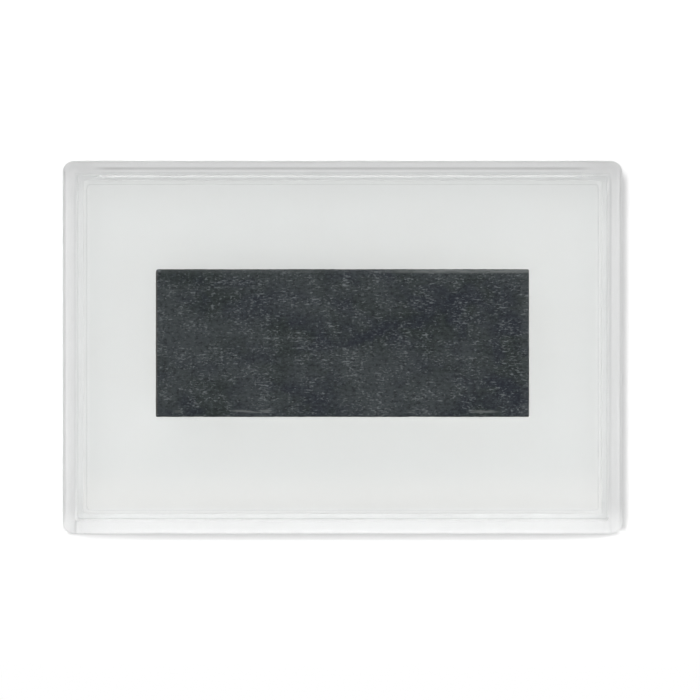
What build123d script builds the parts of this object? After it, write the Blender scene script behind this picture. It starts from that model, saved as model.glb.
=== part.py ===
from build123d import *
import os

# Clear snap-together photo frame for a steel surface, in millimetres.
# X runs along the long side and Z up the short side.
# The window faces -Y and the magnet faces +Y.
# The magnet's outer face lies in the plane y = 0, on the frame's middle line.
# Every "depth" is a distance from that plane towards the window.

# Photo card that the frame is made for
insert_width = 70.0
insert_height = 45.0
insert_thickness = 0.3
insert_clearance = 0.25

# Front shell: a thick window with four walls round it
wall_thickness = 2.25
case_depth = 8.0
window_thickness = 2.0
case_corner_radius = 1.5
front_edge_radius = 0.8
rim_edge_chamfer = 0.2

# Rebate in the shell's mouth, where the back tray's flange sits
rebate_step = 0.45
inner_corner_radius = 0.5

# Back tray: a flat plate with a skirt that reaches forward to the card
plate_thickness = 1.2
recess_depth = 1.0
skirt_thickness = 0.7
tray_edge_chamfer = 0.15

# Flat magnet strip and the adhesive film under it
magnet_width = 50.0
magnet_height = 20.0
magnet_thickness = 1.2
magnet_corner_radius = 0.4
magnet_rise = 0.65
film_thickness = 0.1
film_inset = 0.2

# Fits
tray_clearance = 0.1
seat_gap = 0.05
cut_overrun = 1.0

# Outlines, each from the card outwards
pocket_width = insert_width + 2 * insert_clearance
pocket_height = insert_height + 2 * insert_clearance
case_width = pocket_width + 2 * wall_thickness
case_height = pocket_height + 2 * wall_thickness
rebate_width = pocket_width + 2 * rebate_step
rebate_height = pocket_height + 2 * rebate_step
flange_width = rebate_width - 2 * tray_clearance
flange_height = rebate_height - 2 * tray_clearance
skirt_width = pocket_width - 2 * tray_clearance
skirt_height = pocket_height - 2 * tray_clearance

# Depths, each from the magnet's outer face
film_depth = magnet_thickness
plate_depth = film_depth + film_thickness
plate_front_depth = plate_depth + plate_thickness
rim_depth = plate_depth - recess_depth
ledge_depth = plate_front_depth + seat_gap
window_outer_depth = rim_depth + case_depth
window_inner_depth = window_outer_depth - window_thickness
insert_front_depth = window_inner_depth - seat_gap
insert_rear_depth = insert_front_depth - insert_thickness
skirt_foot_depth = insert_rear_depth - seat_gap

os.makedirs("parts", exist_ok=True)


def at_depth(depth):
    """The plane at that depth, drawn on from the back, with its normal towards the window."""
    return Plane.XZ.offset(depth)


# Front shell
with BuildPart() as front_shell:
    with BuildSketch(at_depth(rim_depth)):
        RectangleRounded(case_width, case_height, case_corner_radius)
    extrude(amount=case_depth)
    window_face = front_shell.faces().sort_by(Axis.Y)[0]
    fillet(window_face.outer_wire().edges(), front_edge_radius)

    with BuildSketch(at_depth(rim_depth - cut_overrun)):
        RectangleRounded(rebate_width, rebate_height, inner_corner_radius)
    extrude(amount=ledge_depth - rim_depth + cut_overrun, mode=Mode.SUBTRACT)

    with BuildSketch(at_depth(rim_depth - cut_overrun)):
        RectangleRounded(pocket_width, pocket_height, inner_corner_radius)
    extrude(amount=window_inner_depth - rim_depth + cut_overrun, mode=Mode.SUBTRACT)

    rim_face = front_shell.faces().sort_by(Axis.Y)[-1]
    chamfer(rim_face.edges(), rim_edge_chamfer)
front_shell.part.label = "front_shell"
export_step(front_shell.part, "parts/front_shell.step")

# Photo card, blank, loose against the window
with BuildPart() as photo_insert:
    with BuildSketch(at_depth(insert_rear_depth)):
        RectangleRounded(insert_width, insert_height, inner_corner_radius)
    extrude(amount=insert_thickness)
photo_insert.part.label = "photo_insert"
export_step(photo_insert.part, "parts/photo_insert.step")

# Back tray
with BuildPart() as back_tray:
    with BuildSketch(at_depth(plate_depth)):
        RectangleRounded(flange_width, flange_height, inner_corner_radius)
    extrude(amount=plate_thickness)
    plate_face = back_tray.faces().sort_by(Axis.Y)[-1]
    chamfer(plate_face.outer_wire().edges(), tray_edge_chamfer)

    with BuildSketch(at_depth(plate_front_depth)):
        RectangleRounded(skirt_width, skirt_height, inner_corner_radius)
        RectangleRounded(
            skirt_width - 2 * skirt_thickness,
            skirt_height - 2 * skirt_thickness,
            inner_corner_radius,
            mode=Mode.SUBTRACT,
        )
    extrude(amount=skirt_foot_depth - plate_front_depth)
back_tray.part.label = "back_tray"
export_step(back_tray.part, "parts/back_tray.step")

# Adhesive film between the tray's plate and the magnet
with BuildPart() as magnet_adhesive:
    with BuildSketch(at_depth(film_depth)):
        with Locations((0, magnet_rise)):
            Rectangle(magnet_width - 2 * film_inset, magnet_height - 2 * film_inset)
    extrude(amount=film_thickness)
magnet_adhesive.part.label = "magnet_adhesive"
export_step(magnet_adhesive.part, "parts/magnet_adhesive.step")

# Flat magnet, stuck on a little above the middle
with BuildPart() as magnet:
    with BuildSketch(at_depth(0)):
        with Locations((0, magnet_rise)):
            RectangleRounded(magnet_width, magnet_height, magnet_corner_radius)
    extrude(amount=magnet_thickness)
magnet.part.label = "magnet"
export_step(magnet.part, "parts/magnet.step")
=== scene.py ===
import math

import bmesh
import bpy
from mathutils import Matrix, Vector, noise


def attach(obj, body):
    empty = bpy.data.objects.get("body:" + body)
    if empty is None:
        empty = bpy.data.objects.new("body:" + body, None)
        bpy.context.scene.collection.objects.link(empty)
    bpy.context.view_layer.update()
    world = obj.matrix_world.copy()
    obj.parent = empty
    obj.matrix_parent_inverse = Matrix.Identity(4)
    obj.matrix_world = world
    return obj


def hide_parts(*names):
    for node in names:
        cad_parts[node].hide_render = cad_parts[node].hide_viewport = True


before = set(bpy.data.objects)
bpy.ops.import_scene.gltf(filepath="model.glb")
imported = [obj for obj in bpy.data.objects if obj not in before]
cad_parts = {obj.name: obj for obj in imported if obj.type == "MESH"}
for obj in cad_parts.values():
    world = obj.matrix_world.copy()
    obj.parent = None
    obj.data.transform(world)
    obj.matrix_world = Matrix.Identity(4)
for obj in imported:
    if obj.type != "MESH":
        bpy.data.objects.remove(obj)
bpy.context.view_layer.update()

# Metres in a millimetre: every size below is in millimetres, in the frame of the CAD.
MM = 0.001
WHITE = (1.0, 1.0, 1.0, 1.0)

# Outlines as half width, half height and corner radius, as in the CAD
CASE = (37.5, 25.0, 1.5)
REBATE = (35.7, 23.2, 0.5)
POCKET = (35.25, 22.75, 0.5)
FLANGE = (35.6, 23.1, 0.5)
SKIRT_OUTER = (35.15, 22.65, 0.5)
SKIRT_INNER = (34.45, 21.95, 0.5)
CARD = (35.0, 22.5, 0.5)
MAGNET = (25.0, 10.0, 0.4)
FILM = (24.8, 9.8, 0.15)
MAGNET_RISE = 0.65

# Places along Y, and the floor
RIM_Y = -0.3
LEDGE_Y = -2.55
WINDOW_INNER_Y = -6.3
WINDOW_OUTER_Y = -8.3
MIDDLE_Y = -4.3
PLATE_REAR_Y = -1.3
PLATE_FRONT_Y = -2.5
SKIRT_FOOT_Y = -5.9
CARD_REAR_Y = -5.95
CARD_FRONT_Y = -6.25
FILM_REAR_Y = -1.2
FLOOR_Z = -25.0

# Radii of the edges and roots
WINDOW_EDGE_R = 0.8
RIM_EDGE_R = 0.2
PLATE_EDGE_R = 0.15
ROOT_R = 0.12
FINE_R = 0.07
CARD_EDGE_R = 0.04
FILM_EDGE_R = 0.02

# Parts that an outline's quarters and sides are divided into
CORNER_STEPS = 14
LONG_STEPS = 28
SHORT_STEPS = 18
SIDE_BANDS = 4


# ---------------------------------------------------------------- camera

CAMERA_DISTANCE = 500.0
SENSOR = 36.0
PHOTO_PIXELS = 700
PIXELS_PER_MM = 7.464
CENTRE_PIXEL = (342.4, 347.3)


def make_camera():
    """A camera straight behind the frame, with the picture shifted as in the photo."""
    data = bpy.data.cameras.new("photo_camera")
    camera = bpy.data.objects.new("photo_camera", data)
    bpy.context.scene.collection.objects.link(camera)
    data.sensor_width = SENSOR
    data.lens = SENSOR * CAMERA_DISTANCE / (PHOTO_PIXELS / PIXELS_PER_MM)
    data.clip_start = 0.01
    data.clip_end = 20.0
    middle = PHOTO_PIXELS / 2
    camera.location = (
        (CENTRE_PIXEL[0] - middle) / PIXELS_PER_MM * MM,
        (RIM_Y + CAMERA_DISTANCE) * MM,
        (CENTRE_PIXEL[1] - middle) / PIXELS_PER_MM * MM,
    )
    camera.rotation_mode = "QUATERNION"
    camera.rotation_quaternion = Vector((0, -1, 0)).to_track_quat("-Z", "Y")
    bpy.context.scene.camera = camera


make_camera()


# ---------------------------------------------------------------- nodes

class Shader:
    """A small helper that adds nodes to one material or world."""

    def __init__(self, owner):
        owner.use_nodes = True
        self.owner = owner
        self.tree = owner.node_tree
        self.tree.nodes.clear()

    def add(self, kind, inputs=None, **props):
        node = self.tree.nodes.new(kind)
        for key, value in props.items():
            setattr(node, key, value)
        for key, value in (inputs or {}).items():
            socket = node.inputs[key]
            if isinstance(value, bpy.types.NodeSocket):
                self.tree.links.new(value, socket)
            else:
                socket.default_value = value
        return node

    def maths(self, operation, a, b=0.0, c=0.0):
        return self.add("ShaderNodeMath", {0: a, 1: b, 2: c}, operation=operation).outputs[0]

    def times(self, value, *others):
        for other in others:
            value = self.maths("MULTIPLY", value, other)
        return value

    def away(self, value, centre=0.0):
        """How far value is from centre, to either side."""
        if centre:
            value = self.maths("SUBTRACT", value, centre)
        return self.maths("ABSOLUTE", value)

    def beyond(self, value, side):
        """How far value is beyond side, to either side of the middle. It is negative within."""
        return self.maths("SUBTRACT", self.away(value), side)

    def axes(self, vector):
        """The X, Y and Z of a vector."""
        return self.add("ShaderNodeSeparateXYZ", {0: vector}).outputs[:3]

    def length(self, vector):
        return self.add("ShaderNodeVectorMath", {0: vector}, operation="LENGTH").outputs["Value"]

    def millimetres(self, stretch=(1.0, 1.0, 1.0), turn=0.0):
        """Object coordinates in millimetres, stretched, and turned about Y by turn degrees."""
        coords = self.add("ShaderNodeTexCoord").outputs["Object"]
        return self.add(
            "ShaderNodeMapping",
            {
                "Vector": coords,
                "Rotation": (0.0, math.radians(turn), 0.0),
                "Scale": tuple(s / MM for s in stretch),
            },
        ).outputs[0]

    def noise(self, vector, scale, detail=2.0, roughness=0.5, distortion=0.0):
        return self.add(
            "ShaderNodeTexNoise",
            {
                "Vector": vector,
                "Scale": scale,
                "Detail": detail,
                "Roughness": roughness,
                "Distortion": distortion,
            },
        ).outputs[0]

    def span(self, value, low, high, to_low=0.0, to_high=1.0, smooth=True):
        """value from low..high onto to_low..to_high, held at the ends."""
        return self.add(
            "ShaderNodeMapRange",
            {
                "Value": value,
                "From Min": low,
                "From Max": high,
                "To Min": to_low,
                "To Max": to_high,
            },
            interpolation_type="SMOOTHSTEP" if smooth else "LINEAR",
        ).outputs[0]

    def mix(self, factor, a, b, blend="MIX"):
        """Colour a where factor is 0 and colour b where it is 1."""
        node = self.add("ShaderNodeMix", data_type="RGBA", blend_type=blend)
        node.clamp_factor = True
        for index, value in ((0, factor), (6, a), (7, b)):
            socket = node.inputs[index]
            if isinstance(value, bpy.types.NodeSocket):
                self.tree.links.new(value, socket)
            elif index == 0:
                socket.default_value = value
            else:
                socket.default_value = (*value, 1.0)
        return node.outputs[2]

    def bump(self, height, distance, strength=1.0, normal=None):
        inputs = {"Height": height, "Distance": distance * MM, "Strength": strength}
        if normal is not None:
            inputs["Normal"] = normal
        return self.add("ShaderNodeBump", inputs).outputs[0]

    def principled(self, inputs):
        return self.add("ShaderNodeBsdfPrincipled", inputs).outputs[0]

    def pane(self, colour):
        """Lets light straight through, in that colour."""
        return self.add("ShaderNodeBsdfTransparent", {"Color": colour}).outputs[0]

    def glow(self, strength):
        return self.add("ShaderNodeEmission", {"Color": WHITE, "Strength": strength}).outputs[0]

    def choose(self, factor, a, b):
        """Shader a where factor is 0 and shader b where it is 1."""
        return self.add("ShaderNodeMixShader", {0: factor, 1: a, 2: b}).outputs[0]

    def out(self, surface, kind="ShaderNodeOutputMaterial"):
        self.add(kind, {"Surface": surface})
        return self.owner


def material(name):
    return Shader(bpy.data.materials.new(name))


# ---------------------------------------------------------------- materials

PLASTIC_IOR = 1.59
# How much of the light goes into a clear surface. The rest makes the plastic slightly milky.
CLARITY = 0.94
# How much of what a surface turns back is taken from the shadow and diffuse rays that pass it:
# everywhere, and on top of that at the outer walls on the way in and on the way out
LOSS_INSIDE = 0.02
LOSS_ENTERING = 0.5
LOSS_LEAVING = 0.88
OUTER_SKIN = 0.15
# What a clear surface passes once the light has been reflected
AFTER_REFLECTION = (0.955, 0.958, 0.957)

# Fine scratches: turn in degrees and stretch
SCRATCHES = (
    (17.0, (0.16, 0.5, 3.4)),
    (-38.0, (0.13, 0.5, 4.1)),
    (84.0, (0.2, 0.5, 3.0)),
)
SCRATCH_WIDTH = 0.012
POLISH = 0.04

# Tint of the rim's inner edge: painted shade that draws a grey line round the rim, except below
RIM_EDGE_PAINTED_SHADE = (0.82, 0.83, 0.83)
# How milky the tray's upper edge is made: a painted highlight along it
TRAY_EDGE_GLINT = 0.5


def scratches(s, moved, seed):
    """Fine scratches in three directions, in patches."""
    total = None
    for turn, stretch in SCRATCHES:
        lines = s.noise(s.millimetres(stretch, turn), 1.0 + seed * 0.01, 1.0, 0.4)
        thin = s.span(s.away(lines, 0.5), 0.0, SCRATCH_WIDTH, 1.0, 0.0)
        total = thin if total is None else s.maths("MAXIMUM", total, thin)
    return s.times(total, s.span(s.noise(moved, 0.22, 3.0, 0.6), 0.52, 0.7))


def rim_inner_edge(s, x, y, z):
    """1 on the rounding of the rim's inner edge, fading out towards the foot."""
    off = s.maths("MAXIMUM", s.beyond(x, REBATE[0]), s.beyond(z, REBATE[1]))
    return s.times(
        s.span(off, -0.02, 0.02),
        s.span(off, RIM_EDGE_R - 0.03, RIM_EDGE_R + 0.02, 1.0, 0.0),
        s.span(y, RIM_Y - RIM_EDGE_R - 0.06, RIM_Y - RIM_EDGE_R),
        s.span(z, -22.5, -17.0),
    )


def painted_edge_glint(s, x, y, z, glint):
    """How milky the upper edge of the tray's plate is made, short of its corners: a painted
    highlight along that edge.
    """
    patchy = s.noise(s.millimetres((0.25, 1.0, 1.0)), 0.9, 3.0, 0.6)
    return s.times(
        s.span(z, FLANGE[1] - 0.28, FLANGE[1] - 0.2),
        s.span(y, PLATE_REAR_Y - 0.22, PLATE_REAR_Y - 0.16),
        s.span(s.away(x), 30.0, 34.0, 1.0, 0.0),
        s.span(patchy, 0.3, 0.55, 0.85 * glint, glint),
    )


def clear_plastic(name, tint, passed, seed, glint=0.0, edge_shade=None):
    """Clear moulded polystyrene: polished, with slight flow waves, rub marks and fine scratches.
    tint is its colour, and passed is what it lets through to shadows and diffuse light.
    glint is how milky the tray's upper edge is made, as a painted highlight.
    edge_shade is the tint of the rim's inner edge: painted shade, greyer than the rest except
    below."""
    s = material(name)
    here = s.millimetres()
    x, y, z = s.axes(here)
    moved = s.add(
        "ShaderNodeVectorMath", {0: here, 1: (seed, seed * 0.7, -seed)}, operation="ADD"
    ).outputs[0]
    smudge = s.span(s.noise(moved, 0.35, 5.0, 0.62, 0.6), 0.42, 0.72)
    rough = s.maths("MULTIPLY_ADD", smudge, 0.02, POLISH)
    rough = s.maths("MULTIPLY_ADD", scratches(s, moved, seed), 0.05, rough)
    colour = (*tint, 1.0)
    # Painted shade: the rim's inner edge is tinted greyer, except below
    if edge_shade:
        colour = s.mix(rim_inner_edge(s, x, y, z), tint, edge_shade)
    clarity = CLARITY
    # A painted highlight: the tray's upper edge made milky so that it shows as a bright line
    if glint:
        clarity = s.maths("SUBTRACT", CLARITY, painted_edge_glint(s, x, y, z, glint))
    glass = s.principled({
        "Base Color": colour,
        "Roughness": rough,
        "IOR": PLASTIC_IOR,
        "Transmission Weight": clarity,
        "Normal": s.bump(s.noise(moved, 0.07, 1.0, 0.4), 0.004),
    })

    turned_back = s.add("ShaderNodeFresnel", {"IOR": PLASTIC_IOR}).outputs[0]
    leaving = s.add("ShaderNodeNewGeometry").outputs["Backfacing"]
    outer = s.maths(
        "MAXIMUM",
        s.maths("GREATER_THAN", s.away(x), CASE[0] - OUTER_SKIN),
        s.maths("GREATER_THAN", s.away(z), CASE[1] - OUTER_SKIN),
    )
    at_walls = s.span(leaving, 0.0, 1.0, LOSS_ENTERING, LOSS_LEAVING)
    loss = s.maths("MULTIPLY_ADD", outer, at_walls, LOSS_INSIDE)
    clear = s.pane(s.mix(s.times(turned_back, loss), passed, (0.0, 0.0, 0.0)))
    plain = s.pane((*AFTER_REFLECTION, 1.0))
    path = s.add("ShaderNodeLightPath").outputs
    surface = s.choose(path["Is Glossy Ray"], glass, plain)
    surface = s.choose(path["Is Diffuse Ray"], surface, clear)
    return s.out(s.choose(path["Is Shadow Ray"], surface, clear))


CARD_STOCK = (0.835, 0.85, 0.842)
CARD_FIBRE = (0.88, 0.893, 0.886)
CARD_CLOUD = (0.852, 0.858, 0.848)
CARD_SPECK = (0.66, 0.65, 0.62)
CARD_SIDES_PAINTED_LIGHT = (0.93, 0.935, 0.93)
CARD_BELOW_PAINTED_LIGHT = (0.98, 0.972, 0.953)
CARD_FOOT_PAINTED_LIGHT = (0.985, 0.985, 0.98)


def photo_card():
    """White coated card, blank, with a faint fibre. Its back is painted paler near the ends and
    below, as painted light.
    """
    s = material("blank_photo_card")
    here = s.millimetres()
    x, y, z = s.axes(here)
    fibre = s.noise(s.millimetres((1.0, 1.0, 2.6), 12.0), 3.2, 6.0, 0.62, 0.5)
    cloud = s.noise(here, 0.16, 3.0, 0.5)
    speck = s.span(s.noise(here, 7.0, 2.0, 0.5), 0.66, 0.74)
    colour = s.mix(s.span(fibre, 0.35, 0.65), CARD_STOCK, CARD_FIBRE)
    colour = s.mix(s.span(cloud, 0.35, 0.65, 0.0, 0.45), colour, CARD_CLOUD)
    colour = s.mix(s.times(speck, 0.1), colour, CARD_SPECK)
    back = s.span(y, CARD_FRONT_Y + 0.05, CARD_REAR_Y - 0.05)
    # Painted light: the card's back made paler near its ends, below and along its foot
    for share, painted_paler in (
        (s.span(s.away(x), CARD[0] - 1.2, CARD[0] - 0.3, 0.0, 0.7), CARD_SIDES_PAINTED_LIGHT),
        (s.span(z, -21.5, -15.0, 0.6, 0.0), CARD_BELOW_PAINTED_LIGHT),
        (s.span(z, 0.3 - CARD[1], 1.2 - CARD[1], 1.0, 0.0), CARD_FOOT_PAINTED_LIGHT),
    ):
        colour = s.mix(s.times(share, back), colour, painted_paler)
    return s.out(s.principled({
        "Base Color": colour,
        "Roughness": s.span(fibre, 0.3, 0.7, 0.62, 0.82),
        "Specular IOR Level": 0.35,
        "Normal": s.bump(fibre, 0.006, 0.8),
    }))


RUBBER_COOL = (0.0158, 0.0192, 0.0272)
RUBBER_GREEN = (0.0190, 0.0251, 0.0238)
RUBBER_PALE = (0.0448, 0.0516, 0.0542)
GRAIN_DARK = (0.0050, 0.0075, 0.0100)
GRAIN_PALE = (0.062, 0.072, 0.075)
FLECK = (0.180, 0.196, 0.203)
EDGE_PALE = (0.150, 0.160, 0.158)
LOWER_EDGE = (0.012, 0.014, 0.015)
PAINTED_LIT_CUT_END = (0.120, 0.108, 0.098)


def pale_edges(s, x, z):
    """How far the rubber is made pale: a painted highlight on the burr along its upper edge, and
    pale streaks near its lower edge and along its end on -X."""
    broken = s.span(s.noise(s.millimetres((0.3, 1.0, 2.2)), 1.6, 3.0, 0.6), 0.36, 0.56)
    # Painted highlight along the upper edge's burr, strongest towards -X
    burr_highlight = s.times(
        s.span(z, 9.8, 10.15),
        s.span(x, -13.0, -3.0, 1.0, 0.2),
        s.maths("MULTIPLY_ADD", broken, 0.45, 0.5),
    )
    streaks = s.times(
        s.span(z, -8.9, -8.65),
        s.span(z, -8.5, -8.3, 1.0, 0.0),
        s.span(s.noise(s.millimetres((1.0, 0.0, 0.0)), 0.13, 2.0, 0.5), 0.5, 0.6),
    )
    end = s.span(x, -24.4, -23.7, 0.24, 0.0)
    patchy = s.times(s.maths("MAXIMUM", streaks, end), broken, 0.7)
    return s.maths("MAXIMUM", patchy, burr_highlight)


def magnet_rubber():
    """Ferrite-filled rubber strip: charcoal, in cool and green-grey patches, with soft grain and
    pale flecks."""
    s = material("flexible_magnet_rubber")
    x, _, z = s.axes(s.millimetres())
    patches = s.noise(s.millimetres((0.75, 1.0, 1.0)), 0.27, 3.0, 0.55, 0.4)
    shade = s.noise(s.millimetres((0.6, 1.0, 1.0)), 0.12, 5.0, 0.62)
    grain = s.noise(s.millimetres((0.6, 1.0, 1.0)), 2.7, 5.0, 0.66)
    colour = s.mix(s.span(patches, 0.4, 0.6), RUBBER_COOL, RUBBER_GREEN)
    colour = s.mix(s.span(shade, 0.38, 0.62, 0.0, 0.9), colour, RUBBER_PALE)
    colour = s.mix(s.span(grain, 0.34, 0.52, 0.7, 0.0), colour, GRAIN_DARK)
    colour = s.mix(s.span(grain, 0.48, 0.68, 0.0, 0.5), colour, GRAIN_PALE)

    # Flecks and short streaks, which crowd together in places
    crowd = s.noise(s.millimetres((0.8, 1.0, 1.0)), 0.42, 4.0, 0.66)
    crowd = s.span(crowd, 0.36, 0.62, 0.065, -0.045)
    fleck = s.noise(s.millimetres((0.52, 1.0, 0.92)), 4.7, 3.0, 0.55, 0.3)
    fleck = s.span(s.maths("SUBTRACT", fleck, crowd), 0.53, 0.76)
    streak = s.noise(s.millimetres((0.28, 1.0, 1.3)), 3.4, 2.0, 0.5)
    streak = s.span(s.maths("SUBTRACT", streak, crowd), 0.6, 0.74)
    marks = s.maths("MAXIMUM", fleck, streak)
    colour = s.mix(s.times(marks, 0.66), colour, FLECK)

    # Paler edges: a painted highlight on the upper burr, and pale streaks below and at the -X end
    colour = s.mix(pale_edges(s, x, z), colour, EDGE_PALE)
    colour = s.mix(s.span(z, -9.32, -9.08, 0.8, 0.0), colour, LOWER_EDGE)
    # Painted light: a pale band along the cut end on +X, which faces the light
    colour = s.mix(s.span(x, 24.7, 24.95, 0.0, 0.75), colour, PAINTED_LIT_CUT_END)
    return s.out(s.principled({
        "Base Color": colour,
        "Roughness": s.span(grain, 0.3, 0.7, 0.5, 0.72),
        "Specular IOR Level": 0.25,
        "Normal": s.bump(marks, 0.012, 0.6, s.bump(grain, 0.02, 0.6)),
    }))


def adhesive():
    """Double-sided adhesive film, milky, with trapped specks of air."""
    s = material("double_sided_film")
    here = s.millimetres()
    cloud = s.noise(here, 0.8, 4.0, 0.6)
    bubble = s.span(s.noise(here, 3.0, 1.0, 0.5), 0.6, 0.66)
    colour = s.mix(s.span(cloud, 0.35, 0.65), (0.68, 0.66, 0.60), (0.76, 0.745, 0.69))
    colour = s.mix(s.times(bubble, 0.5), colour, (0.85, 0.84, 0.80))
    return s.out(s.principled({
        "Base Color": colour,
        "Roughness": s.span(cloud, 0.3, 0.7, 0.3, 0.48),
        "Normal": s.bump(bubble, 0.01, 0.7),
    }))


# ---------------------------------------------------------------- meshes

NORMAL_WEIGHT = 80


def ring(outline, offset, y):
    """A rounded rectangle round the Y axis, offset outwards from an outline."""
    half_x, half_z, radius = (v + offset for v in outline)
    flat_x, flat_z = half_x - radius, half_z - radius
    points = []
    for quarter, (sx, sz) in enumerate(((1, 1), (-1, 1), (-1, -1), (1, -1))):
        cx, cz = sx * flat_x, sz * flat_z
        for i in range(CORNER_STEPS + 1):
            a = math.radians(90 * (quarter + i / CORNER_STEPS))
            points.append(Vector((cx + radius * math.cos(a), y, cz + radius * math.sin(a))))
        end = points[-1]
        if quarter % 2 == 0:
            steps, along_x, along_z = LONG_STEPS, -2 * sx * flat_x, 0
        else:
            steps, along_x, along_z = SHORT_STEPS, 0, -2 * sz * flat_z
        for i in range(1, steps):
            points.append(
                Vector((end.x + along_x * i / steps, y, end.z + along_z * i / steps))
            )
    return points


def arc(outline, centre, centre_y, radius, start, end, steps):
    """Rings of an edge rounding. Angles are from outwards (0) towards +Y (90)."""
    rings = []
    for i in range(steps + 1):
        a = math.radians(start + (end - start) * i / steps)
        rings.append(ring(outline, centre + radius * math.cos(a), centre_y + radius * math.sin(a)))
    return rings


def slab(outline, front_y, rear_y, radius):
    """Rings of a flat piece with rounded edges."""
    rings = arc(outline, -radius, front_y + radius, radius, -90, 0, steps=2)
    return rings + arc(outline, -radius, rear_y - radius, radius, 0, 90, steps=2)


def vertex(bm, x, y, z, rise):
    return bm.verts.new((x * MM, y * MM, (z + rise) * MM))


def band(bm, lower, upper):
    """Faces between two closed rows of vertices."""
    n = len(lower)
    for i in range(n):
        bm.faces.new((lower[i], lower[(i + 1) % n], upper[(i + 1) % n], upper[i]))


def smooth_mesh(bm, name):
    """The finished mesh, shaded smooth, with its faces turned outwards."""
    bmesh.ops.recalc_face_normals(bm, faces=bm.faces[:])
    for face in bm.faces:
        face.smooth = True
    mesh = bpy.data.meshes.new(name)
    bm.to_mesh(mesh)
    bm.free()
    return mesh


def loft(name, rings, rise):
    """A closed mesh through the rings, with a flat face at each end."""
    bm = bmesh.new()
    rows = [[vertex(bm, p.x, p.y, p.z, rise) for p in points] for points in rings]
    for lower, upper in zip(rows, rows[1:]):
        band(bm, lower, upper)
    bm.faces.new(rows[0])
    bm.faces.new(list(reversed(rows[-1])))
    return smooth_mesh(bm, name)


def dress(name, mesh, coat, body, node):
    """Puts a mesh in the scene in place of its CAD node."""
    piece = bpy.data.objects.new(name, mesh)
    bpy.context.scene.collection.objects.link(piece)
    mesh.materials.append(coat)
    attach(piece, body)
    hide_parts(node)
    return piece


def moulded(name, rings, coat, body, node, rise=0.0):
    """A lofted piece, shaded flat on its faces and round on its edges."""
    piece = dress(name, loft(name, rings, rise), coat, body, node)
    modifier = piece.modifiers.new("weighted_normals", "WEIGHTED_NORMAL")
    modifier.weight = NORMAL_WEIGHT
    modifier.keep_sharp = True


def shell_rings():
    """From the window's outer face round the rim and down to its inner face."""
    side_low, side_high = WINDOW_OUTER_Y + WINDOW_EDGE_R, RIM_Y - RIM_EDGE_R
    rings = arc(CASE, -WINDOW_EDGE_R, side_low, WINDOW_EDGE_R, -90, 0, steps=12)
    for i in range(1, SIDE_BANDS):
        rings.append(ring(CASE, 0.0, side_low + (side_high - side_low) * i / SIDE_BANDS))
    rings += arc(CASE, -RIM_EDGE_R, side_high, RIM_EDGE_R, 0, 90, steps=6)
    rings += arc(REBATE, RIM_EDGE_R, side_high, RIM_EDGE_R, 90, 180, steps=6)
    rings += arc(REBATE, -ROOT_R, LEDGE_Y + ROOT_R, ROOT_R, 0, -90, steps=4)
    rings += arc(POCKET, FINE_R, LEDGE_Y - FINE_R, FINE_R, 90, 180, steps=4)
    rings += arc(POCKET, -ROOT_R, WINDOW_INNER_Y + ROOT_R, ROOT_R, 0, -90, steps=5)
    return rings


def tray_rings():
    """From the plate's rear face over its edge, round the skirt and back to its front face."""
    edge_y, root_y = PLATE_REAR_Y - PLATE_EDGE_R, PLATE_FRONT_Y - PLATE_EDGE_R
    rings = arc(FLANGE, -PLATE_EDGE_R, edge_y, PLATE_EDGE_R, 90, 0, steps=5)
    rings += arc(FLANGE, -FINE_R, PLATE_FRONT_Y + FINE_R, FINE_R, 0, -90, steps=4)
    rings += arc(SKIRT_OUTER, FINE_R, PLATE_FRONT_Y - FINE_R, FINE_R, 90, 180, steps=4)
    rings += arc(SKIRT_OUTER, -FINE_R, SKIRT_FOOT_Y + FINE_R, FINE_R, 0, -90, steps=4)
    rings += arc(SKIRT_INNER, FINE_R, SKIRT_FOOT_Y + FINE_R, FINE_R, -90, -180, steps=4)
    rings += arc(SKIRT_INNER, -PLATE_EDGE_R, root_y, PLATE_EDGE_R, 0, 90, steps=5)
    return rings


moulded(
    "clear_front_shell",
    shell_rings(),
    clear_plastic(
        "clear_polystyrene_shell",
        (0.993, 0.994, 0.994), (0.986, 0.987, 0.987), 3.0, edge_shade=RIM_EDGE_PAINTED_SHADE,
    ),
    "shell", "front_shell",
)
moulded(
    "clear_back_tray",
    tray_rings(),
    clear_plastic(
        "clear_polystyrene_tray",
        (0.993, 0.996, 0.995), (0.986, 0.988, 0.987), 11.0, glint=TRAY_EDGE_GLINT,
    ),
    "back", "back_tray",
)
moulded(
    "blank_photo_card",
    slab(CARD, CARD_FRONT_Y, CARD_REAR_Y, CARD_EDGE_R),
    photo_card(),
    "card", "photo_insert",
)
moulded(
    "magnet_adhesive_film",
    slab(FILM, PLATE_REAR_Y, FILM_REAR_Y, FILM_EDGE_R),
    adhesive(),
    "back", "magnet_adhesive",
    rise=MAGNET_RISE,
)

# Magnet strip: one fine grid over its face, with cut sides
GRID = 0.2
# Three corners are crisper than the CAD's, which the upper corner on +X keeps
CRISP_CORNER_R = 0.15
# How far in from its edges the face is drawn in, and how much
EDGE_BAND = 0.6
FRAY = 0.05
END_FRAY_SHARE = 0.4
SHORT_ABOVE = 0.17
SHORT_BELOW = 0.02
EDGE_DROP = 0.05
RELIEF = 0.03
# The sides: depths of their rows, how rough they are and how far their foot stands back
SIDE_DEPTHS = (0.12, 0.3, 0.6, 0.9, 1.12, 1.2)
SIDE_BAND = 0.5
SIDE_ROUGHNESS = 0.035
FOOT_DRAW = 0.03


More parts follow.
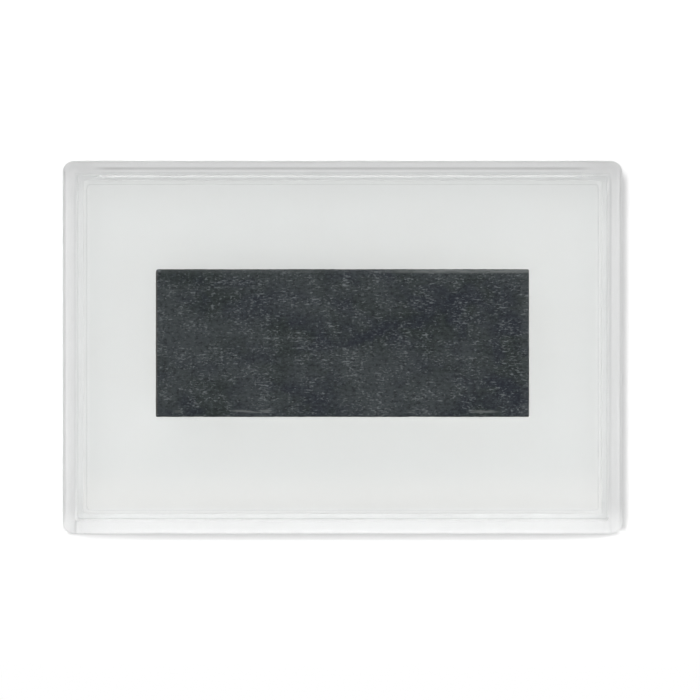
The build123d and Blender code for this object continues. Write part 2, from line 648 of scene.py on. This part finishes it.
def rounded(x, z):
    """The point drawn in to the strip's outline, whose upper corner on +X is cut off rounder."""
    half_x, half_z, cut_radius = MAGNET
    radius = cut_radius if x > 0 and z > 0 else CRISP_CORNER_R
    dx, dz = abs(x) - (half_x - radius), abs(z) - (half_z - radius)
    if dx > 0 and dz > 0:
        reach = math.hypot(dx, dz)
        if reach > radius:
            x = math.copysign(half_x - radius + dx * radius / reach, x)
            z = math.copysign(half_z - radius + dz * radius / reach, z)
    return x, z


def fray(x, z):
    """How far the cut edge stands back from the outline there."""
    slow = noise.noise(Vector((x * 0.22, 3.1, z * 0.22)))
    fast = noise.noise(Vector((x * 1.7, 8.4, z * 1.7)))
    return FRAY * max(0.0, 0.5 + 0.5 * slow + 0.45 * fast)


def relief(x, z):
    """The rolled face's fine grain, as a depth below the face."""
    drawn = noise.noise(Vector((x * 0.9, 1.7, z * 2.6)))
    grit = noise.noise(Vector((x * 2.3, 5.2, z * 2.9)))
    return RELIEF * min(1.0, max(0.0, 0.42 + 0.5 * drawn + 0.45 * grit))


def face_point(x, z, on_edge):
    """A point of the strip's face, drawn in near its edges."""
    half_x, half_z, _ = MAGNET
    x, z = rounded(x, z)
    near = max(0.0, 1 - min(half_x - abs(x), half_z - abs(z)) / EDGE_BAND)
    draw = fray(x, z) * near
    short = (SHORT_ABOVE if z > 0 else SHORT_BELOW) * near
    if half_x - abs(x) < EDGE_BAND:
        x -= math.copysign(END_FRAY_SHARE * draw, x)
    if half_z - abs(z) < EDGE_BAND:
        z -= math.copysign(draw + short, z)
    return x, -relief(x, z) - (EDGE_DROP if on_edge else 0.0), z


def side_point(x, z, depth):
    """A point of the strip's cut side under a point of its edge: straight down in the first row,
    rough below it and drawn in at the foot."""
    half_x, half_z, _ = MAGNET
    out = 0.0
    if depth != SIDE_DEPTHS[0]:
        out = SIDE_ROUGHNESS * noise.noise(Vector((x * 1.1, depth * 4.0, z * 1.1)))
    if depth == SIDE_DEPTHS[-1]:
        out -= FOOT_DRAW
    sx = math.copysign(1, x) if half_x - abs(x) < SIDE_BAND else 0.0
    sz = math.copysign(1, z) if half_z - abs(z) < SIDE_BAND else 0.0
    x = max(-half_x, min(half_x, x + sx * out))
    z = max(-half_z, min(half_z, z + sz * out))
    return x, -depth, z


def magnet_mesh():
    half_x, half_z, _ = MAGNET
    across, up = round(2 * half_x / GRID), round(2 * half_z / GRID)
    bm = bmesh.new()
    rows = []
    for j in range(up + 1):
        row = []
        for i in range(across + 1):
            on_edge = i in (0, across) or j in (0, up)
            point = face_point(-half_x + GRID * i, -half_z + GRID * j, on_edge)
            row.append(vertex(bm, *point, MAGNET_RISE))
        rows.append(row)
    for low, high in zip(rows, rows[1:]):
        for i in range(across):
            bm.faces.new((low[i], low[i + 1], high[i + 1], high[i]))

    right, left = [row[-1] for row in rows[:-1]], [row[0] for row in rows[:0:-1]]
    edge = rows[0][:-1] + right + rows[-1][:0:-1] + left
    last = edge
    for depth in SIDE_DEPTHS:
        fresh = []
        for v in edge:
            point = side_point(v.co.x / MM, v.co.z / MM - MAGNET_RISE, depth)
            fresh.append(vertex(bm, *point, MAGNET_RISE))
        band(bm, last, fresh)
        last = fresh
    bm.faces.new(last)
    return smooth_mesh(bm, "flexible_magnet_strip")


dress(
    "flexible_magnet_strip", magnet_mesh(), magnet_rubber(), "back", "magnet"
)


# ---------------------------------------------------------------- stage

STAGE_HALF = 1500.0
WALL_GAP = 0.05
BOARD_HALF = 400.0
BOARD_Y = 1300.0
# The paper turns into plain white between these distances, and lights the object this much there
SWEEP_NEAR = 90.0
SWEEP_FAR = 220.0
FAR_LIGHT = 0.4
PAPER_DARK = (0.872, 0.872, 0.872)
PAPER_PALE = (0.888, 0.888, 0.888)
# The contact shade at its darkest, and the centres that it goes round the lower corners of
CONTACT_DEPTH = 0.45
CORNER_SHADE = (36.6, 23.9)
# How bright the paper glows at least, as seen through the clear pieces; on the wall this is
# painted light, strongest at the foot and gone at the top
THROUGH_FLOOR = 0.65
THROUGH_FOOT = 0.58
THROUGH_SIDES = 0.08
# Painted shade that the clear rim takes off it at the top and at the sides
THROUGH_TOP = -0.1
RIM_SHADE = -0.05


def painted_rim_lines(s, x, z):
    """Painted dark and bright lines on the paper under the clear rim, standing for those that its
    edges throw, as a gain, strongest at the top."""
    above = s.span(s.away(x), 31.5, 34.5, 1.0, 0.0)
    below = s.span(z, 18.0, 22.0, 1.0, 0.0)
    left = s.times(s.span(z, -22.0, 20.0, 0.35, 1.0), s.span(z, 22.0, 23.5, 1.0, 0.0))
    total = None
    for value, centre, half, gain, along in (
        (z, 24.2, 0.3, -0.22, above),
        (z, 23.62, 0.24, -0.12, above),
        (z, 23.24, 0.26, 0.1, above),
        (z, 22.8, 0.24, -0.14, above),
        (x, 36.16, 0.28, -0.2, s.span(z, 20.0, 23.0, 1.0, 0.0)),
        (x, 35.38, 0.42, -0.05, below),
        (x, -35.45, 0.35, -0.03, below),
        (x, -36.3, 0.24, -0.16, left),
    ):
        line = s.times(s.span(s.away(value, centre), 0.0, half, gain, 0.0), along)
        total = line if total is None else s.maths("ADD", total, line)
    return total


def painted_through_plastic(s, x, z):
    """What the clear pieces show of the wall: the painted light that it glows with at least, and
    the gain of painted lines and shade on it.
    """
    beside = s.span(x, -35.5, -33.0, 0.0, THROUGH_SIDES)
    foot = s.span(z, -24.0, -21.0, THROUGH_FOOT, beside)
    least = s.times(foot, s.span(z, 18.0, 24.0, 1.0, 0.0))
    gain = s.maths("ADD", painted_rim_lines(s, x, z), s.span(z, 22.0, 24.5, 0.0, THROUGH_TOP))
    sides = s.times(
        s.span(s.away(x), 35.7, 36.3, 0.0, RIM_SHADE),
        s.span(x, 36.6, 36.95, 1.0, 0.5),
        s.span(z, 20.5, 23.5, 1.0, 0.0),
    )
    return least, s.maths("ADD", gain, sides)


def contact_shade(s, y, reach, lean, gain, power, wall):
    """How dark the paper is where the object covers it. reach is how far the shade goes, and lean
    is the way the light falls from."""
    forward = lean[1] if wall else s.span(y, -4.5, -4.0, -lean[1], lean[1], smooth=False)
    towards = s.add("ShaderNodeCombineXYZ", {"X": lean[0], "Y": forward, "Z": lean[2]}).outputs[0]
    open_sky = s.add(
        "ShaderNodeAmbientOcclusion", {"Distance": reach * MM, "Normal": towards}, samples=8
    ).outputs["AO"]
    covered = s.maths("POWER", s.maths("SUBTRACT", 1.0, open_sky), power)
    return s.maths("MINIMUM", s.times(covered, gain), CONTACT_DEPTH)


def round_the_outline(s, x, z):
    """1 on the wall close round the object, 0 further out, and fainter at the very foot."""
    corner = s.add(
        "ShaderNodeCombineXYZ",
        {
            "X": s.maths("MAXIMUM", s.beyond(x, CORNER_SHADE[0]), 0.0),
            "Z": s.maths("MAXIMUM", s.maths("SUBTRACT", -CORNER_SHADE[1], z), 0.0),
        },
    ).outputs[0]
    close = s.span(s.length(corner), CASE[2] + 0.4, CASE[2] + 1.3, 1.0, 0.0)
    higher_up = s.span(z, -24.6, -23.2)
    return s.times(s.maths("MAXIMUM", close, higher_up), s.span(z, FLOOR_Z, -24.3, 0.4, 1.0))


def under_the_edge(s, x, y):
    """1 on the floor under the object and 0 past its ends, the sooner the further out along Y."""
    off = s.maths("MAXIMUM", s.maths("SUBTRACT", s.away(y, MIDDLE_Y), 6.0), 0.0)
    aside = s.maths("ADD", s.away(x), s.times(off, 0.3))
    return s.span(aside, 35.8, 38.9, 1.0, 0.0)


def paper_sweep(name, lift, reach, lean, gain, power, wall):
    """Pale paper that keeps the shadow near the object and is plain white further out.
    lift is how bright it is on its own, and the others are those of contact_shade."""
    s = material(name)
    here = s.millimetres()
    x, y, z = s.axes(here)
    tooth = s.noise(here, 1.6, 4.0, 0.6)
    colour = s.mix(s.span(tooth, 0.3, 0.7), PAPER_DARK, PAPER_PALE)
    path = s.add("ShaderNodeLightPath").outputs
    direct = path["Is Camera Ray"]
    seen_through = s.maths("MAXIMUM", path["Is Transmission Ray"], path["Is Glossy Ray"])
    where = round_the_outline(s, x, z) if wall else under_the_edge(s, x, y)
    dark = s.times(contact_shade(s, y, reach, lean, gain, power, wall), where)
    shade = s.maths("SUBTRACT", 1.0, s.times(direct, dark))
    least = THROUGH_FLOOR
    # On the wall, painted light and shade that only the clear pieces show
    if wall:
        least, gained = painted_through_plastic(s, x, z)
        shade = s.maths("ADD", shade, s.times(seen_through, gained))
    colour = s.mix(1.0, colour, shade, "MULTIPLY")
    paper = s.add("ShaderNodeBsdfDiffuse", {"Color": colour, "Roughness": 0.6}).outputs[0]
    shown = s.maths("MAXIMUM", s.times(direct, shade), s.times(least, seen_through))
    near = s.add("ShaderNodeAddShader", {0: paper, 1: s.glow(s.times(shown, lift))}).outputs[0]
    far = s.glow(s.maths("MULTIPLY_ADD", path["Is Diffuse Ray"], FAR_LIGHT - 1.0, 1.0))
    surface = s.choose(s.span(s.length(here), SWEEP_NEAR, SWEEP_FAR), near, far)
    if wall:
        behind = s.add("ShaderNodeNewGeometry").outputs["Backfacing"]
        surface = s.choose(behind, surface, s.pane(WHITE))
    return s.out(surface)


def sheet_of_paper(name, corners, coat):
    bm = bmesh.new()
    bm.faces.new([bm.verts.new(Vector(c) * MM) for c in corners])
    mesh = bpy.data.meshes.new(name)
    bm.to_mesh(mesh)
    bm.free()
    mesh.materials.append(coat)
    paper = bpy.data.objects.new(name, mesh)
    bpy.context.scene.collection.objects.link(paper)
    return paper


def flat(half, z):
    """Corners of a level square that faces up."""
    return (-half, -half, z), (half, -half, z), (half, half, z), (-half, half, z)


def upright(half, y, low):
    """Corners of an upright sheet, from low up to half."""
    return (half, y, low), (-half, y, low), (-half, y, half), (half, y, half)


sheet_of_paper(
    "floor_paper",
    flat(STAGE_HALF, FLOOR_Z),
    paper_sweep("floor_paper", 0.63, 24.0, (0.35, -0.95, 0.3), 1.3, 1.7, wall=False),
)
back_paper = sheet_of_paper(
    "back_paper",
    upright(STAGE_HALF, WINDOW_OUTER_Y - WALL_GAP, FLOOR_Z),
    paper_sweep("back_paper", 0.26, 2.1, (0.62, 0.4, 0.68), 12.5, 3.0, wall=True),
)
back_paper.visible_shadow = False
back_paper.visible_diffuse = False


def glow_board():
    """A board behind the camera that only reflections meet, dimmer above."""
    s = material("glow_board")
    _, _, height = s.axes(s.millimetres())
    strength = s.maths(
        "ADD", s.span(height, 55.0, 90.0, 0.9, 0.2), s.span(height, -90.0, -50.0, 0.45, 0.0)
    )
    board = sheet_of_paper(
        "glow_board", upright(BOARD_HALF, BOARD_Y, -BOARD_HALF), s.out(s.glow(strength))
    )
    board.visible_camera = False
    board.visible_diffuse = False
    board.visible_transmission = False
    board.visible_shadow = False


# Square lamps turned to the object: name, the brightness that each gives a white surface that
# faces it, azimuth and elevation in degrees, distance and side in metres, and whether reflections
# show it. Azimuth 0 is on the magnet's side, 90 on +X, and 180 on the window's side.
LAMPS = (
    ("lens_light", 0.632, 0.3, 0.3, 1.2, 0.05, False),
    ("key", 0.12, 24, 38, 0.9, 0.7, True),
    ("overhead", 0.25, 0, 90, 0.8, 0.4, True),
    ("window_key", 0.5, 205, 14, 0.9, 0.5, True),
    ("window_fill", 0.36, 160, 8, 1.2, 0.7, False),
)


def softbox(name, level, azimuth, elevation, distance, side, reflected):
    a, e = math.radians(azimuth), math.radians(elevation)
    back = Vector((math.sin(a) * math.cos(e), math.cos(a) * math.cos(e), math.sin(e)))
    data = bpy.data.lights.new(name, "AREA")
    data.shape = "RECTANGLE"
    data.size, data.size_y = side, side
    data.energy = level * (math.pi * distance) ** 2
    lamp = bpy.data.objects.new(name, data)
    bpy.context.scene.collection.objects.link(lamp)
    lamp.location = back * distance
    lamp.rotation_mode = "QUATERNION"
    lamp.rotation_quaternion = (-back).to_track_quat("-Z", "Y")
    lamp.visible_glossy = reflected
    lamp.visible_transmission = False


for settings in LAMPS:
    softbox(*settings)
glow_board()

SKY_COLOUR = (0.97, 0.985, 1.0, 1.0)
SKY_LIGHT = 0.07
# How much dimmer the white is above and to the sides, for reflections and for what the clear
# pieces show within this many surfaces
DIM_ABOVE = 0.5
DIM_ASIDE = 0.35
DIM_SURFACES = 3.5


def studio_world():
    """Faint soft light, and plain white where the world itself is seen."""
    world = bpy.data.worlds.new("studio")
    bpy.context.scene.world = world
    s = Shader(world)
    path = s.add("ShaderNodeLightPath").outputs
    direct = path["Is Camera Ray"]
    seen = s.maths("MAXIMUM", direct, path["Is Glossy Ray"])
    seen = s.maths("MAXIMUM", seen, path["Is Transmission Ray"])
    heading_x, _, heading_z = s.axes(s.add("ShaderNodeTexCoord").outputs["Generated"])
    above = s.span(heading_z, 0.15, 0.75, 0.0, DIM_ABOVE)
    aside = s.span(s.away(heading_x), 0.2, 0.85, 0.0, DIM_ASIDE)
    dim = s.times(
        s.maths("MAXIMUM", above, aside),
        s.maths("SUBTRACT", 1.0, direct),
        s.maths("LESS_THAN", path["Transmission Depth"], DIM_SURFACES),
    )
    soft = s.add("ShaderNodeBackground", {"Color": SKY_COLOUR, "Strength": SKY_LIGHT}).outputs[0]
    level = s.maths("SUBTRACT", 1.0, dim)
    white = s.add("ShaderNodeBackground", {"Color": WHITE, "Strength": level}).outputs[0]
    s.out(s.choose(seen, soft, white), "ShaderNodeOutputWorld")


studio_world()

scene = bpy.context.scene
scene.view_settings.view_transform = "Standard"
scene.cycles.max_bounces = 24
scene.cycles.transmission_bounces = 20
scene.cycles.glossy_bounces = 12
scene.cycles.transparent_max_bounces = 24
